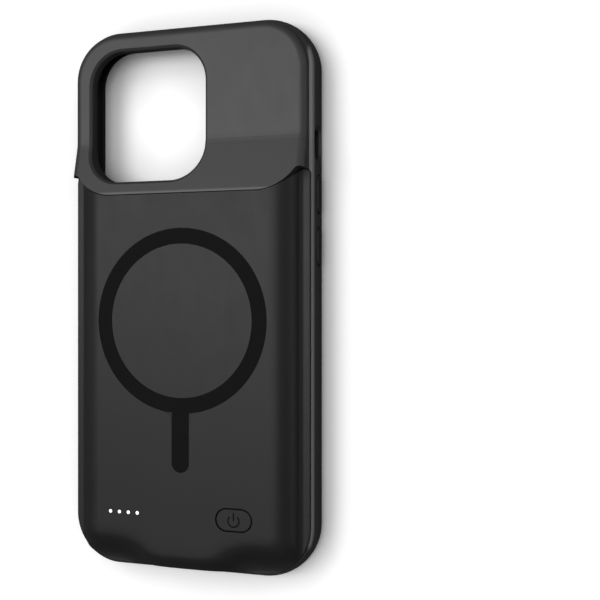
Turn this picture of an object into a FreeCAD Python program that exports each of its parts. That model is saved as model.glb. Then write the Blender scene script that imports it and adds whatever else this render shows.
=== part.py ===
import FreeCAD, Part
import math
import os

V = FreeCAD.Vector

# Overall sizes of the case, in mm. It lies face-down: front rim at z = 0, back up, window end at +Y.
CASE_W = 77.6
CASE_L = 161.8
CASE_T = 16.5
CORNER_R = 15.0
HALF_W = CASE_W / 2
HALF_L = CASE_L / 2

# Pocket behind the front rim, and the lip round it.
SIDE_WALL = 2.9
CHIN_L = 11.1
POCKET_H = 8.0
LIP_T = 1.2
LIP_REACH = 1.7
POCKET_HALF_W = HALF_W - SIDE_WALL
POCKET_R = CORNER_R - SIDE_WALL
POCKET_Y0 = -HALF_L + CHIN_L
POCKET_Y1 = HALF_L - SIDE_WALL
POCKET_Z1 = LIP_T + POCKET_H
POCKET_MID_Z = LIP_T + POCKET_H / 2

# Outer section of the frame, from the rim up: barrel side, rail, groove and rounded plate, as insets.
RIM_IN = 1.7
RIM_UP = 1.2
BARREL_IN = 0.55
SHELF_T = 0.4
SHELF_Z = POCKET_Z1 + SHELF_T
RAIL_LOW = 0.1
RAIL_HIGH = 0.9
RAIL_IN = 1.3
RAIL_Z0 = SHELF_Z - RAIL_LOW
RAIL_Z1 = SHELF_Z + RAIL_HIGH
BARREL_MID_Z = (RIM_UP + RAIL_Z0) / 2
PLATE_T = 3.6
PLATE_Z = POCKET_Z1 + PLATE_T
PLATE_ROUND = PLATE_Z - RAIL_Z1

# Camera window in the upper plate.
WINDOW_W = 37.8
WINDOW_L = 39.6
WINDOW_R = 10.2
WINDOW_SIDE = 7.1
WINDOW_TOP = 6.8
WINDOW_RIM = 0.7
WINDOW_X0 = -HALF_W + WINDOW_SIDE
WINDOW_X1 = WINDOW_X0 + WINDOW_W
WINDOW_Y1 = HALF_L - WINDOW_TOP
WINDOW_Y0 = WINDOW_Y1 - WINDOW_L

# Crest between frame and pack, and the ramp that leads up to it.
CREST_GAP = 3.8
CREST_SOFT = 0.8
RAMP_L = 15.7
RAMP_SOFT_R = 10.0
RAMP_STEPS = 2
RAMP_SINK = 0.4
CREST_Y = WINDOW_Y0 - CREST_GAP
RAMP_Y = CREST_Y + RAMP_L
SEAM = 0.2

# Battery pack: flat top, round side, hollow foot and a thin flange.
PACK_SIDE = 11.5
PACK_FLAT_HALF = HALF_W - PACK_SIDE
COVER_IN = 0.9
COVER_END_IN = 1.1
COVER_WALL = 1.3
COVER_HALF_W = HALF_W - COVER_IN
COVER_Y0 = -HALF_L + COVER_END_IN
COVER_R = CORNER_R - COVER_IN
FLANGE_T = 0.7
FLANGE_W = 1.4
FLANGE_DIP = 0.15
FLANGE_Z = SHELF_Z + FLANGE_T
FOOT_R = 1.8
FOOT_Z = FLANGE_Z - FLANGE_DIP
PACK_RISE = CASE_T - FOOT_Z
PACK_RUN = COVER_HALF_W - FLANGE_W - PACK_FLAT_HALF
PACK_TURN = 2 * math.atan2(PACK_RISE, PACK_RUN)
PACK_R = PACK_RUN / math.sin(PACK_TURN) - FOOT_R

# Two tabs of the cover that run up beside the ramp.
TAB_W = 3.4
TAB_RISE = 6.2
TAB_TURN_R = 14.0
TAB_Y = CREST_Y + TAB_RISE

# Bell-shaped lower end of the pack: steepest line and half run, at the tongue and at the shoulders.
BELL_IN_X = 8.0
BELL_OUT_X = 21.0
TONGUE_DROP = 1.7
TONGUE_RUN = 3.4
SHOULDER_DROP = 6.8
SHOULDER_RUN = 4.6
BELL_EASE = 2.0
BELL_ROWS = 5
CORNER_SOFT_R = 20.0
PACK_PAST = 1.0
TONGUE_Y = -HALF_L + TONGUE_DROP
SHOULDER_Y = -HALF_L + SHOULDER_DROP
BELL_Y1 = SHOULDER_Y + SHOULDER_RUN
BELL_TOP_Y = BELL_Y1 + BELL_EASE
DEGREE = 3

# Ring inlay with its stem.
RING_MARGIN = 0.3
RING_W = 4.5
RING_FROM_CREST = 10.4
STEM_W = 5.5
STEM_L = 17.2
STEM_FILLET = 2.5
STEM_ROOT = 1.0
INLAY_T = 0.2
INLAY_GAP = 0.08
RING_RO = PACK_FLAT_HALF - RING_MARGIN
RING_RI = RING_RO - RING_W
RING_Y = CREST_Y - RING_FROM_CREST - RING_RO
STEM_END_Y = RING_Y - RING_RO - STEM_L

# Lamps and power key at the lower end.
LAMP_N = 4
LAMP_D = 1.4
LAMP_PITCH = 2.97
LAMP_FROM_SIDE = 15.85
LAMP_FROM_END = 17.45
LAMP_GAP = 0.12
LAMP_X0 = -HALF_W + LAMP_FROM_SIDE
LAMP_Y = -HALF_L + LAMP_FROM_END
KEY_W = 11.5
KEY_H = 6.85
KEY_FROM_SIDE = 21.95
KEY_FROM_END = 17.3
KEY_GAP = 0.3
KEY_TRAVEL = 0.4
KEY_FLANGE = 0.8
KEY_FLANGE_T = 0.7
KEY_HEAD_GAP = 0.2
KEY_BEVEL = 0.2
KEY_X = HALF_W - KEY_FROM_SIDE
KEY_Y = -HALF_L + KEY_FROM_END

# Side keys in the frame's walls, placed from the window end.
SIDE_PROUD = 0.35
SIDE_BEVEL = 0.25
SIDE_KEY_H = 3.4
SIDE_KEY_L = 11.5
LONG_KEY_L = 16.7
VOLUME_UP_FROM_TOP = 51.1
VOLUME_DOWN_FROM_TOP = 66.2
LONG_KEY_FROM_TOP = 58.5
SIDE_FLANGE = 0.9
SIDE_FLANGE_T = 1.0
SIDE_SEAT_IN = 1.4
SIDE_SEAT_X = HALF_W - SIDE_SEAT_IN

# Slot for the sliding switch, with a bevel.
SLOT_FROM_TOP = 36.7
SLOT_L = 8.8
SLOT_H = 4.8
SLOT_BEVEL = 1.1
SLOT_BEVEL_T = 0.9

# Dock at the lower end: plug, board and charge port in the chin.
CHIN_HALF_W = 15.0
CHIN_FLOOR = 2.0
CHIN_WALL = 2.3
CHIN_Y0 = -HALF_L + CHIN_WALL
DOCK_WALL_T = 1.5
DOCK_GAP = 0.2
DOCK_WALL_Y0 = POCKET_Y0 - DOCK_WALL_T
PLUG_W = 6.6
PLUG_T = 1.5
PLUG_REACH = 6.2
PLUG_BASE_W = 11.0
PLUG_BASE_T = 3.6
PLUG_BASE_L = 3.4
DOCK_BOARD_T = 0.8
DOCK_BOARD_W = 22.0
DOCK_BOARD_RISE = POCKET_MID_Z - CHIN_FLOOR - DOCK_GAP
DOCK_BOARD_Y1 = DOCK_WALL_Y0 - PLUG_BASE_L
DOCK_BOARD_Y0 = DOCK_BOARD_Y1 - DOCK_BOARD_T
PORT_W = 9.0
PORT_H = 3.3
PORT_WALL = 0.35
PORT_GAP = 0.3
PORT_TONGUE_W = 6.4
PORT_TONGUE_T = 0.7
PORT_MOUTH = 0.5
PORT_SINK = 0.6
PORT_BEVEL = 0.7
PORT_L = DOCK_BOARD_Y0 + HALF_L - PORT_MOUTH

# Tray and board, stacked from the pocket upward.
TRAY_T = 1.0
TRAY_SIDE_IN = 3.4
TRAY_END_IN = 1.4
TRAY_PAST = 0.3
TRAY_R = 4.0
TRAY_GAP = 0.2
TRAY_HALF_W = COVER_HALF_W - TRAY_SIDE_IN
TRAY_Y0 = DOCK_WALL_Y0 - TRAY_PAST
TRAY_Y1 = CREST_Y - SEAM - TRAY_END_IN
TRAY_Z1 = POCKET_Z1 + TRAY_T
BOARD_SIDE_GAP = 7.5
BOARD_L = 13.0
BOARD_T = 0.8
BOARD_EDGE_GAP = 0.8
BOARD_STAND = 0.5
BOARD_POST_W = 3.0
BOARD_HALF_W = TRAY_HALF_W - BOARD_SIDE_GAP
BOARD_Y0 = BELL_Y1 + BOARD_EDGE_GAP
BOARD_Y1 = BOARD_Y0 + BOARD_L
BOARD_Y = BOARD_Y0 + BOARD_L / 2
BOARD_Z0 = TRAY_Z1 + BOARD_STAND
BOARD_Z1 = BOARD_Z0 + BOARD_T

# Magnets below the cover's roof, under the ring inlay.
ROOF_Z = CASE_T - COVER_WALL
MAGNET_T = 0.6
MAGNET_IN = 0.4
MAGNET_GAP = 0.1
MAGNET_N = 16
MAGNET_OPEN_DEG = 36.0
MAGNET_SLIT_DEG = 1.2
MAGNET_RO = RING_RO - MAGNET_IN
MAGNET_RI = RING_RI + MAGNET_IN
MAGNET_Z1 = ROOF_Z - MAGNET_GAP
MAGNET_Z0 = MAGNET_Z1 - MAGNET_T
BAR_W = 4.0
BAR_END = 1.1
BAR_Y0 = STEM_END_Y + BAR_END
BAR_Y1 = STEM_END_Y + STEM_L - BAR_END

# Cell between the tray and the magnets, from the board up to the crest, with its tape and tabs.
TAPE_T = 0.2
TAPE_IN = 2.0
CELL_SIDE_GAP = 4.5
CELL_END_GAP = 3.0
CELL_TAB_GAP = 1.4
CELL_TOP_GAP = 0.4
CELL_HALF_W = TRAY_HALF_W - CELL_SIDE_GAP
CELL_Y0 = BOARD_Y1 + CELL_TAB_GAP
CELL_Y1 = TRAY_Y1 - CELL_END_GAP
CELL_Z0 = TRAY_Z1 + TAPE_T
CELL_Z1 = MAGNET_Z0 - CELL_TOP_GAP
TAB_STRIP_W = 5.0
TAB_STRIP_T = 0.2
TAB_STRIP_X = 9.0
TAB_STRIP_LAP = 3.0

# Pieces on the board.
CHIP_L = 1.1
CHIP_W = 0.8
CHIP_T = 0.5
GUIDE_GAP = 0.1
PIN_SIDES = 10
GUIDE_BAR_T = 0.8
GUIDE_BAR_W = 2.6
SWITCH_W = 4.2
SWITCH_CAP_W = 1.8
SWITCH_CAP_T = 0.6
SWITCH_REST = 0.05
KEY_FLANGE_Z1 = ROOF_Z - KEY_HEAD_GAP
KEY_FLANGE_Z0 = KEY_FLANGE_Z1 - KEY_FLANGE_T
SWITCH_Z1 = KEY_FLANGE_Z0 - KEY_TRAVEL - SWITCH_REST
CONTROLLER_W = 5.0
CONTROLLER_T = 0.9
CONTROLLER_X = -5.5
COIL_W = 4.4
COIL_T = 2.0
COIL_X = 3.2
CAP_N = 5
CAP_L = 1.6
CAP_W = 0.8
CAP_PITCH = 2.4
CAP_FROM_EDGE = 1.9
CAP_Y = BOARD_Y1 - CAP_FROM_EDGE

# Flat cable from the dock board up and over to the main board.
CABLE_W = 6.0
CABLE_T = 0.25
CABLE_UP = 0.5
CABLE_GAP = 0.4
CABLE_DOWN = 0.2
CABLE_LAP = 2.3
CABLE_Y0 = DOCK_BOARD_Y1 + CABLE_GAP
CABLE_Y1 = BOARD_Y0 - CABLE_DOWN
CABLE_Z1 = BOARD_Z1 + CABLE_UP

# How far cutting shapes run past what they cut, and how close two points count as one.
PAST = 5.0
NEAR = 1e-3


def box(x0, x1, y0, y1, z0, z1):
    """Box between two corners."""
    return Part.makeBox(x1 - x0, y1 - y0, z1 - z0, V(x0, y0, z0))


def rounded_wire(x0, x1, y0, y1, r, z=0.0):
    """Closed wire of a rectangle with round corners, at height z."""
    k = r * math.sqrt(0.5)
    corners = (
        (x1 - r, y0 + r, 1, -1),
        (x1 - r, y1 - r, 1, 1),
        (x0 + r, y1 - r, -1, 1),
        (x0 + r, y0 + r, -1, -1),
    )
    ends = []
    arcs = []
    for cx, cy, sx, sy in corners:
        lower = V(cx, cy + sy * r, z)
        side = V(cx + sx * r, cy, z)
        first, last = (lower, side) if sx * sy < 0 else (side, lower)
        arcs.append(Part.Arc(first, V(cx + sx * k, cy + sy * k, z), last).toShape())
        ends.append((first, last))
    edges = []
    for i, arc in enumerate(arcs):
        edges.append(arc)
        leave = ends[i][1]
        enter = ends[(i + 1) % len(arcs)][0]
        if leave.distanceToPoint(enter) > NEAR:
            edges.append(Part.makeLine(leave, enter))
    return Part.Wire(edges)


def rounded_block(x0, x1, y0, y1, r, z0, z1):
    """Upright block on a rounded rectangle."""
    return Part.Face(rounded_wire(x0, x1, y0, y1, r, z0)).extrude(V(0, 0, z1 - z0))


def stadium(cx, cy, w, h, z0, z1):
    """Upright block whose plan is a stadium w by h."""
    r = min(w, h) / 2
    return rounded_block(cx - w / 2, cx + w / 2, cy - h / 2, cy + h / 2, r, z0, z1)


def stand_on_side(shape, y, z, x0):
    """Turn a block drawn in XY so that its height runs along +X from x0, its X along Y and its Y along Z."""
    turned = shape.copy()
    turned.rotate(V(0, 0, 0), V(1, 1, 1), 120)
    turned.translate(V(x0, y, z))
    return turned


def stand_on_end(shape, x, z, y0):
    """Turn a block drawn in XY so that its height runs along -Y from y0, and its Y along Z."""
    turned = shape.copy()
    turned.rotate(V(0, 0, 0), V(1, 0, 0), 90)
    turned.translate(V(x, y0, z))
    return turned


def hull_half(reach, to_point):
    """Face of the frame's outer section, from the middle line out to `reach`."""
    k = math.sqrt(0.5)
    section = (
        (reach, 0.0),
        (RIM_IN, 0.0),
        (BARREL_IN, RIM_UP),
        (0.0, BARREL_MID_Z),
        (BARREL_IN, RAIL_Z0),
        (RAIL_IN, RAIL_Z1),
        (RAIL_IN + PLATE_ROUND * (1 - k), RAIL_Z1 + PLATE_ROUND * k),
        (RAIL_IN + PLATE_ROUND, PLATE_Z),
        (reach, PLATE_Z),
    )
    foot, rim, low, barrel, rail, groove, bend, plate, top = [
        to_point((reach - inset, z)) for inset, z in section]
    return Part.Face(Part.Wire([
        Part.makeLine(foot, rim),
        Part.makeLine(rim, low),
        Part.Arc(low, barrel, rail).toShape(),
        Part.makeLine(rail, groove),
        Part.Arc(groove, bend, plate).toShape(),
        Part.makeLine(plate, top),
        Part.makeLine(top, foot),
    ]))


def frame_hull():
    """Outer body of the frame: straight runs and quarter turns of one section."""
    flat_x = HALF_W - CORNER_R
    flat_y = HALF_L - CORNER_R
    solids = []
    for sx in (-1, 1):
        side = hull_half(HALF_W, lambda p: V(sx * p[0], -flat_y, p[1]))
        solids.append(side.extrude(V(0, 2 * flat_y, 0)))
        for sy in (-1, 1):
            turn = hull_half(CORNER_R, lambda p: V(sx * (flat_x + p[0]), sy * flat_y, p[1]))
            solids.append(turn.revolve(V(sx * flat_x, sy * flat_y, 0), V(0, 0, 1), 90 * sx * sy))
    for sy in (-1, 1):
        end = hull_half(CORNER_R, lambda p: V(-flat_x, sy * (flat_y + p[0]), p[1]))
        solids.append(end.extrude(V(2 * flat_x, 0, 0)))
    hull = solids[0].fuse(solids[1:]).removeSplitter()
    return hull.Solids[0]


def smooth(t):
    """Smooth step from 0 to 1, with no jump in slope or curvature."""
    t = min(1.0, max(0.0, t))
    return t ** 3 * (10 - 15 * t + 6 * t * t)


def bell_level(x, y):
    """Share of the pack's rise that is left at a point of its lower end: the bell-shaped fall."""
    spread = smooth((abs(x) - BELL_IN_X) / (BELL_OUT_X - BELL_IN_X))
    drop_y = TONGUE_Y + (SHOULDER_Y - TONGUE_Y) * spread
    run = TONGUE_RUN + (SHOULDER_RUN - TONGUE_RUN) * spread
    return smooth((y - drop_y + run) / (2 * run))


def spaced(limits, counts):
    """Values that run through the limits with the given number of steps between each two."""
    values = [limits[0]]
    for a, b, n in zip(limits, limits[1:], counts):
        values += [a + (b - a) * (i + 1) / n for i in range(n)]
    return values


def clamped(count, degree):
    """Multiplicities and knots of a clamped even spline with `count` poles."""
    inner = count - degree - 1
    mults = [degree + 1] + [1] * inner + [degree + 1]
    return mults, [float(i) for i in range(inner + 2)]


def side_arcs():
    """The pack's round side and hollow foot as (run out, height): start, corner and end of each arc."""
    corner = math.tan(PACK_TURN / 2)
    sine, cosine = math.sin(PACK_TURN), math.cos(PACK_TURN)
    join = (PACK_R * sine, CASE_T - PACK_R * (1 - cosine))
    middle = (join[0] + FOOT_R * corner * cosine, join[1] - FOOT_R * corner * sine)
    return [
        ((0.0, CASE_T), (PACK_R * corner, CASE_T), join),
        (join, middle, (PACK_RUN, FOOT_Z)),
    ]


def arc_middle(start, corner, end):
    """Point half way along the arc that touches both legs of a corner."""
    weight = math.cos(PACK_TURN / 2)
    return tuple((a + 2 * weight * c + b) / (2 + 2 * weight) for a, c, b in zip(start, corner, end))


def patch_block(poles, weights, degrees):
    """Block below a smooth patch given by its poles and their weights, one row for each step across."""
    u_mults, u_knots = clamped(len(poles), degrees[0])
    v_mults, v_knots = clamped(len(poles[0]), degrees[1])
    surface = Part.BSplineSurface()
    surface.buildFromPolesMultsKnots(
        poles, u_mults, v_mults, u_knots, v_knots, False, False, degrees[0], degrees[1], weights)
    return surface.toShape().extrude(V(0, 0, -CASE_T))


def bell_middle(along):
    """Middle of the pack's lower end: the tongue and its two flanks."""
    across = spaced((0, BELL_IN_X, BELL_OUT_X, PACK_FLAT_HALF), (1, 3, 1))
    across = [-x for x in reversed(across[1:])] + across
    poles = [[V(x, y, FOOT_Z + PACK_RISE * bell_level(x, y)) for y in along] for x in across]
    return patch_block(poles, [[1.0] * len(along) for x in across], (DEGREE, DEGREE))


def bell_sides(sign, along):
    """One side of the pack's lower end: round side and foot, drawn in and lowered by the bell."""
    shares = []
    for y in along:
        narrow = CORNER_SOFT_R - math.sqrt(CORNER_SOFT_R ** 2 - min(y - BELL_Y1, 0.0) ** 2)
        shares.append((y, 1 - narrow / (PACK_RUN + FLANGE_W), bell_level(PACK_FLAT_HALF, y)))
    weights = [1.0, math.cos(PACK_TURN / 2), 1.0]
    blocks = []
    for arc in side_arcs():
        poles = []
        for run, z in arc:
            poles.append([
                V(sign * (PACK_FLAT_HALF + run * share), y, FOOT_Z + (z - FOOT_Z) * level)
                for y, share, level in shares])
        grid = [[weight] * len(shares) for weight in weights]
        blocks.append(patch_block(poles[::sign], grid, (len(arc) - 1, DEGREE)))
    return blocks


def pillow_block(drop, y0, y1):
    """Straight block with the pack's section, drawn in and lowered by `drop`."""
    half = PACK_FLAT_HALF - drop / 2
    low = FOOT_Z - CASE_T
    right = []
    left = []
    for start, corner, end in side_arcs():
        points = [V(half + x, y0, z - drop) for x, z in (start, arc_middle(start, corner, end), end)]
        right.append(Part.Arc(*points).toShape())
        left.insert(0, Part.Arc(*[V(-v.x, v.y, v.z) for v in reversed(points)]).toShape())
    foot = points[-1]
    corners = [V(foot.x, y0, low), V(-foot.x, y0, low), V(-foot.x, y0, foot.z)]
    rest = [Part.makeLine(a, b) for a, b in zip([foot] + corners, corners)]
    top = Part.makeLine(V(-half, y0, CASE_T - drop), V(half, y0, CASE_T - drop))
    section = Part.Wire([top] + right + rest + left)
    return Part.Face(section).extrude(V(0, y1 - y0, 0))


def pack_solid():
    """Block below the cover's outer surface: flange, straight section and the bell-shaped lower end."""
    along = spaced((COVER_Y0 - PACK_PAST, BELL_Y1, BELL_TOP_Y), (BELL_ROWS, 1))
    flange = box(-HALF_W, HALF_W, -HALF_L - PACK_PAST, TAB_Y + PACK_PAST, 0, FLANGE_Z)
    bell = [bell_middle(along)] + bell_sides(1, along) + bell_sides(-1, along)
    pack = pillow_block(0.0, BELL_TOP_Y, TAB_Y + PACK_PAST).fuse(bell)
    return pack.fuse(flange)


def cover_plan(grow):
    """Plan of the cover as a wire, grown by `grow`: round lower corners, crest line and two tabs."""
    half = COVER_HALF_W + grow
    y0 = COVER_Y0 - grow
    r = COVER_R + grow
    k = math.sqrt(0.5)
    turn_r = TAB_TURN_R - grow
    tip_r = TAB_W / 2 + grow
    crest = CREST_Y - SEAM
    tip = V(COVER_HALF_W - TAB_W / 2, TAB_Y - TAB_W / 2, 0)
    up = crest + TAB_TURN_R - tip.y
    turn = V(tip.x - math.sqrt((TAB_TURN_R + TAB_W / 2) ** 2 - up ** 2), crest + TAB_TURN_R, 0)
    lean = math.atan2(tip.y - turn.y, tip.x - turn.x)
    touch = turn + V(math.cos(lean), math.sin(lean), 0) * turn_r
    half_turn = (lean - math.pi / 2) / 2
    round_tip = (lean + math.pi) / 2
    right = [
        (V(half - r, y0, 0), V(half - r + r * k, y0 + r - r * k, 0), V(half, y0 + r, 0)),
        (V(half, tip.y, 0), tip + V(math.cos(round_tip), math.sin(round_tip), 0) * tip_r, touch),
        (touch, turn + V(math.cos(half_turn), math.sin(half_turn), 0) * turn_r, turn - V(0, turn_r, 0)),
    ]
    left = [tuple(V(-p.x, p.y, 0) for p in reversed(arc)) for arc in reversed(right)]
    arcs = right + left
    edges = []
    for i, arc in enumerate(arcs):
        edges.append(Part.Arc(*arc).toShape())
        enter = arcs[(i + 1) % len(arcs)][0]
        if arc[2].distanceToPoint(enter) > NEAR:
            edges.append(Part.makeLine(arc[2], enter))
    return Part.Wire(edges)


def plan_block(wire, z0, z1):
    """Upright block on a plan wire drawn at z = 0."""
    face = Part.Face(wire)
    face.translate(V(0, 0, z0))
    return face.extrude(V(0, 0, z1 - z0))


def ramp_edges(line):
    """Round edges of the ramp at both sides: the plate's edge carried along a line of points."""
    flat = HALF_W - RAIL_IN - PLATE_ROUND
    k = math.sqrt(0.5)
    depth = CASE_T - RAIL_Z1
    edges = []
    for a, b in zip(line, line[1:]):
        start = V(flat, a.y, a.z)
        middle = start + V(PLATE_ROUND * k, 0, -PLATE_ROUND * (1 - k))
        end = start + V(PLATE_ROUND, 0, -PLATE_ROUND)
        low = [V(end.x, a.y, a.z - depth), V(flat, a.y, a.z - depth)]
        section = Part.Wire(
            [Part.Arc(start, middle, end).toShape()] + Part.makePolygon([end] + low + [start]).Edges)
        edge = Part.Face(section).extrude(b - a)
        edges += [edge, edge.mirror(V(0, 0, 0), V(1, 0, 0))]
    return edges


def ramp_block():
    """Ramp from the plate up to the crest, with the plate's round edge at both sides."""
    flat = HALF_W - RAIL_IN - PLATE_ROUND
    slope = math.atan2(CASE_T - PLATE_Z, RAMP_L)
    foot_y = RAMP_Y + RAMP_SOFT_R * math.tan(slope / 2)
    turns = [slope * i / RAMP_STEPS for i in range(RAMP_STEPS + 1)]
    line = [
        V(0, foot_y - RAMP_SOFT_R * math.sin(a), PLATE_Z + RAMP_SOFT_R * (1 - math.cos(a))) for a in turns]
    line.append(V(0, CREST_Y + CREST_SOFT, CASE_T - CREST_SOFT * math.tan(slope)))
    line.append(V(0, CREST_Y, CASE_T - CREST_SOFT * math.tan(slope) / 2))
    low = [V(0, y, PLATE_Z - RAMP_SINK) for y in (CREST_Y, foot_y)]
    wedge = Part.Face(Part.makePolygon(line + low + line[:1])).extrude(V(2 * flat, 0, 0))
    wedge.translate(V(-flat, 0, 0))
    return wedge.fuse(ramp_edges(line))


def side_key(length, y, sign):
    """Key of a side wall: rounded cap through the wall and a flange behind it. sign is the wall's side."""
    cap_l = length - 2 * KEY_GAP
    seat = SIDE_SEAT_X - KEY_HEAD_GAP
    cap = stadium(0, 0, cap_l, SIDE_KEY_H, 0, HALF_W + SIDE_PROUD - seat)
    cap = cap.makeChamfer(SIDE_BEVEL, cap.Faces[-1].Edges)
    flange_l, flange_h = (size / 2 + SIDE_FLANGE for size in (length, SIDE_KEY_H))
    flange = box(-flange_l, flange_l, -flange_h, flange_h, -SIDE_FLANGE_T, 0)
    key = stand_on_side(cap.fuse(flange).removeSplitter(), y, POCKET_MID_Z, seat)
    if sign < 0:
        key = key.mirror(V(0, 0, 0), V(1, 0, 0))
    return key.Solids[0]


def side_key_cut(length, y, sign):
    """Room for a side key: the slot through the wall and the seat of its flange."""
    slot = stadium(0, 0, length, SIDE_KEY_H + 2 * KEY_GAP, -PAST, PAST)
    seat_l, seat_h = (size / 2 + SIDE_FLANGE + KEY_GAP for size in (length, SIDE_KEY_H))
    seat = box(-seat_l, seat_l, -seat_h, seat_h, -PAST, 0)
    cut = stand_on_side(slot.fuse(seat), y, POCKET_MID_Z, SIDE_SEAT_X)
    if sign < 0:
        cut = cut.mirror(V(0, 0, 0), V(1, 0, 0))
    return cut


def bevelled_slot(w, h, bevel, bevel_t, depth):
    """Stadium hole of a given depth below z = 0 whose mouth widens by a bevel."""
    hole = stadium(0, 0, w, h, -depth, PAST)
    r = h / 2
    inner = rounded_wire(-w / 2, w / 2, -h / 2, h / 2, r, -bevel_t)
    outer = rounded_wire(-w / 2 - bevel, w / 2 + bevel, -h / 2 - bevel, h / 2 + bevel, r + bevel, 0.0)
    return hole.fuse(Part.makeLoft([inner, outer], True))


def window_cut(body):
    """Cut the camera window through the plate and the ramp, and bevel its upper rim."""
    bounds = (WINDOW_X0, WINDOW_X1, WINDOW_Y0, WINDOW_Y1, WINDOW_R)
    outline = rounded_wire(*bounds)
    floor = POCKET_Z1 - LIP_T
    body = body.cut(rounded_block(*bounds, floor, CASE_T + PAST))
    rim = []
    for edge in body.Edges:
        middle = edge.valueAt((edge.FirstParameter + edge.LastParameter) / 2)
        upright = edge.BoundBox.ZMax > middle.z + LIP_REACH
        flat = Part.Vertex(middle.x, middle.y, 0)
        if middle.z > POCKET_Z1 and not upright and outline.distToShape(flat)[0] < NEAR:
            rim.append(edge)
    return body.makeChamfer(WINDOW_RIM, rim)


def bumper_frame():
    """Soft frame: hull and ramp, hollowed for the pocket, window, pack, keys, switch slot and dock."""
    body = window_cut(frame_hull().fuse(ramp_block()).removeSplitter())
    half = POCKET_HALF_W
    reach = half - LIP_REACH
    y0, y1 = POCKET_Y0, POCKET_Y1
    pocket = rounded_block(-half, half, y0, y1, POCKET_R, LIP_T, POCKET_Z1)
    front = rounded_block(
        -reach, reach, y0 + LIP_REACH, y1 - LIP_REACH, POCKET_R - LIP_REACH, -PAST, POCKET_Z1)
    pack = plan_block(cover_plan(SEAM), SHELF_Z, CASE_T + PAST)
    tray_w = TRAY_HALF_W + TRAY_GAP
    tray = rounded_block(
        -tray_w, tray_w, TRAY_Y0 - TRAY_GAP, TRAY_Y1 + TRAY_GAP, TRAY_R, POCKET_Z1, CASE_T)
    chin = box(-CHIN_HALF_W, CHIN_HALF_W, CHIN_Y0, POCKET_Y0 + LIP_REACH, CHIN_FLOOR, SHELF_Z)
    switch = bevelled_slot(SLOT_L, SLOT_H, SLOT_BEVEL, SLOT_BEVEL_T, PAST)
    port = bevelled_slot(PORT_W + 2 * PORT_GAP, PORT_H + 2 * PORT_GAP, PORT_BEVEL, PORT_SINK, PAST)
    cuts = [
        pocket.fuse(front), pack, tray, chin,
        side_key_cut(SIDE_KEY_L, HALF_L - VOLUME_UP_FROM_TOP, 1),
        side_key_cut(SIDE_KEY_L, HALF_L - VOLUME_DOWN_FROM_TOP, 1),
        side_key_cut(LONG_KEY_L, HALF_L - LONG_KEY_FROM_TOP, -1),
        stand_on_side(switch, HALF_L - SLOT_FROM_TOP, POCKET_MID_Z, HALF_W),
        stand_on_end(port, 0, POCKET_MID_Z, -HALF_L),
    ]
    for cut in cuts:
        body = body.cut(cut)
    return body.Solids[0]


def ring_face(gap):
    """Face of the ring with its stem, drawn at z = 0 and drawn in by `gap` all round."""
    ro, ri = RING_RO - gap, RING_RI + gap
    half = STEM_W / 2 - gap
    middle = V(0, RING_Y, 0)
    disc = Part.Face(Part.Wire(Part.makeCircle(ro, middle)))
    stem = rounded_wire(-half, half, STEM_END_Y + gap, RING_Y - RING_RI - STEM_ROOT, half)
    joined = disc.fuse(Part.Face(stem))
    fill = STEM_FILLET + gap
    fill_x = half + fill
    fill_y = RING_Y - math.sqrt((ro + fill) ** 2 - fill_x ** 2)
    for s in (-1, 1):
        centre = V(s * fill_x, fill_y, 0)
        touch = centre + (middle - centre).normalize() * fill
        root = V(0, RING_Y - ro + STEM_ROOT, 0)
        web = Part.Face(Part.makePolygon([
            root, touch, centre, V(s * half, fill_y, 0), V(0, fill_y, 0), root]))
        round_off = Part.Face(Part.Wire(Part.makeCircle(fill, centre)))
        joined = joined.fuse(web.cut(round_off))
    hole = Part.Face(Part.Wire(Part.makeCircle(ri, middle)))
    return joined.cut(hole).removeSplitter()


def ring_inlay():
    """Thin ring with its stem, flush with the cover."""
    face = ring_face(INLAY_GAP)
    face.translate(V(0, 0, CASE_T - INLAY_T))
    return face.extrude(V(0, 0, INLAY_T)).Solids[0]


def lamp_spots():
    """Plan positions of the lamps."""
    return [(LAMP_X0 + i * LAMP_PITCH, LAMP_Y) for i in range(LAMP_N)]


def lamp_prism(x, y, r, z0, z1):
    """Many-sided pin or hole of one lamp."""
    turns = [2 * math.pi * i / PIN_SIDES for i in range(PIN_SIDES + 1)]
    rim = [V(x + r * math.cos(a), y + r * math.sin(a), z0) for a in turns]
    return Part.Face(Part.makePolygon(rim)).extrude(V(0, 0, z1 - z0))


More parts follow.
